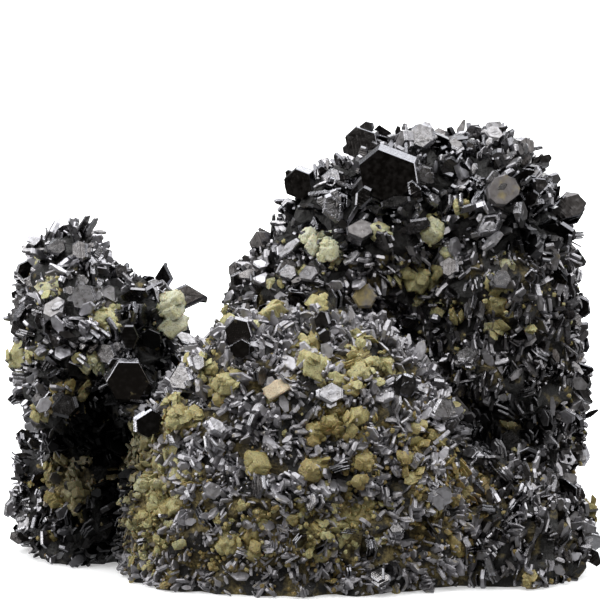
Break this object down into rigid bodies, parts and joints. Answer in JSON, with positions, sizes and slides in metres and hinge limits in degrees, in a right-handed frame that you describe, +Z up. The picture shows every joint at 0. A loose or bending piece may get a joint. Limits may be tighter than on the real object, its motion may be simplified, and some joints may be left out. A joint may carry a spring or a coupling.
{
  "type": "crystal cluster mineral specimen",
  "caption": "Mineral cluster of intergrown black hexagonal tablets on rounded mounds, with yellowish rhombs between them, cut flat underneath to rest on a shelf.",
  "frame": {"origin": "middle of the bounding box's underside, on the flat cut face that the specimen rests on", "axes": "+Z up; +X to the right of the front view, along the row of mounds; +Y away from the viewer, towards the back"},
  "size_m": [0.0794, 0.0524, 0.0583],
  "materials": {
    "hematite": "gloss",
    "siderite": "satin"
  },
  "bodies": {
    "root": {"crystal_cluster": "hematite"}
  },
  "joints": []
}
